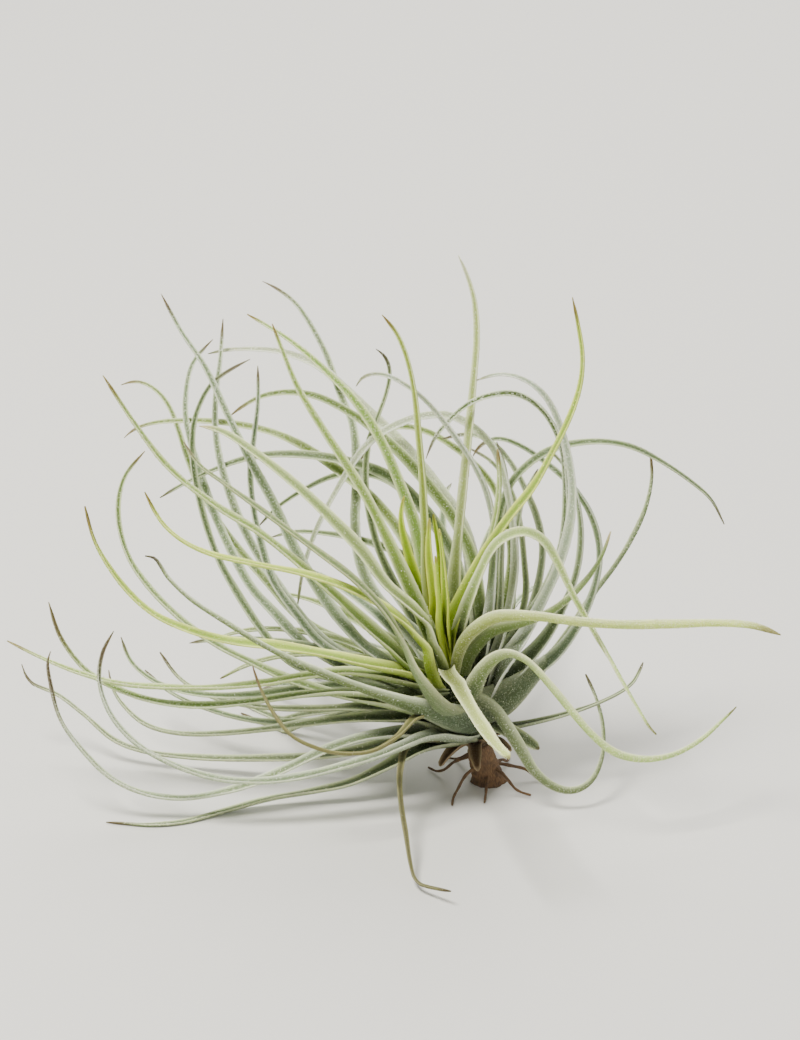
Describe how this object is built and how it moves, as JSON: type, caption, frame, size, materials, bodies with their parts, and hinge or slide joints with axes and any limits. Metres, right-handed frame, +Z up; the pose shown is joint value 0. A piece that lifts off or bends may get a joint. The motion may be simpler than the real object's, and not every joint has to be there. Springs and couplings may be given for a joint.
{
  "type": "air plant",
  "caption": "Unpotted air plant with narrow channelled silver-green leaves that arch from a bright heart, a woody stub and wiry roots, resting on a flat foot.",
  "frame": {"origin": "centre of the stem stub's flat foot, on the surface the plant rests on", "axes": "+Z up; +X to the right and +Y to the back as the plant is seen from the front, its heart leaning towards the viewer"},
  "size_m": [0.1273, 0.1001, 0.0888],
  "materials": {
    "heart_leaves": "young yellow-green leaf with lime edges and a fine silver bloom",
    "inner_leaves": "fresh green leaf with pale fuzzy edges",
    "outer_leaves": "sage to silver-grey leaf covered in fine silver scales, brown at the tip",
    "old_leaves": "old grey-green leaf with silver scales and a dry brown tip",
    "dry_leaf_bases": "dry papery leaf base, tan to brown",
    "stem_stub": "dull brown woody stem and wiry roots"
  },
  "bodies": {
    "root": {"heart_leaves": "heart_leaves", "inner_leaves": "inner_leaves", "outer_leaves": "outer_leaves", "old_leaves": "old_leaves", "dry_leaf_bases": "dry_leaf_bases", "stem_stub": "stem_stub"}
  },
  "joints": []
}
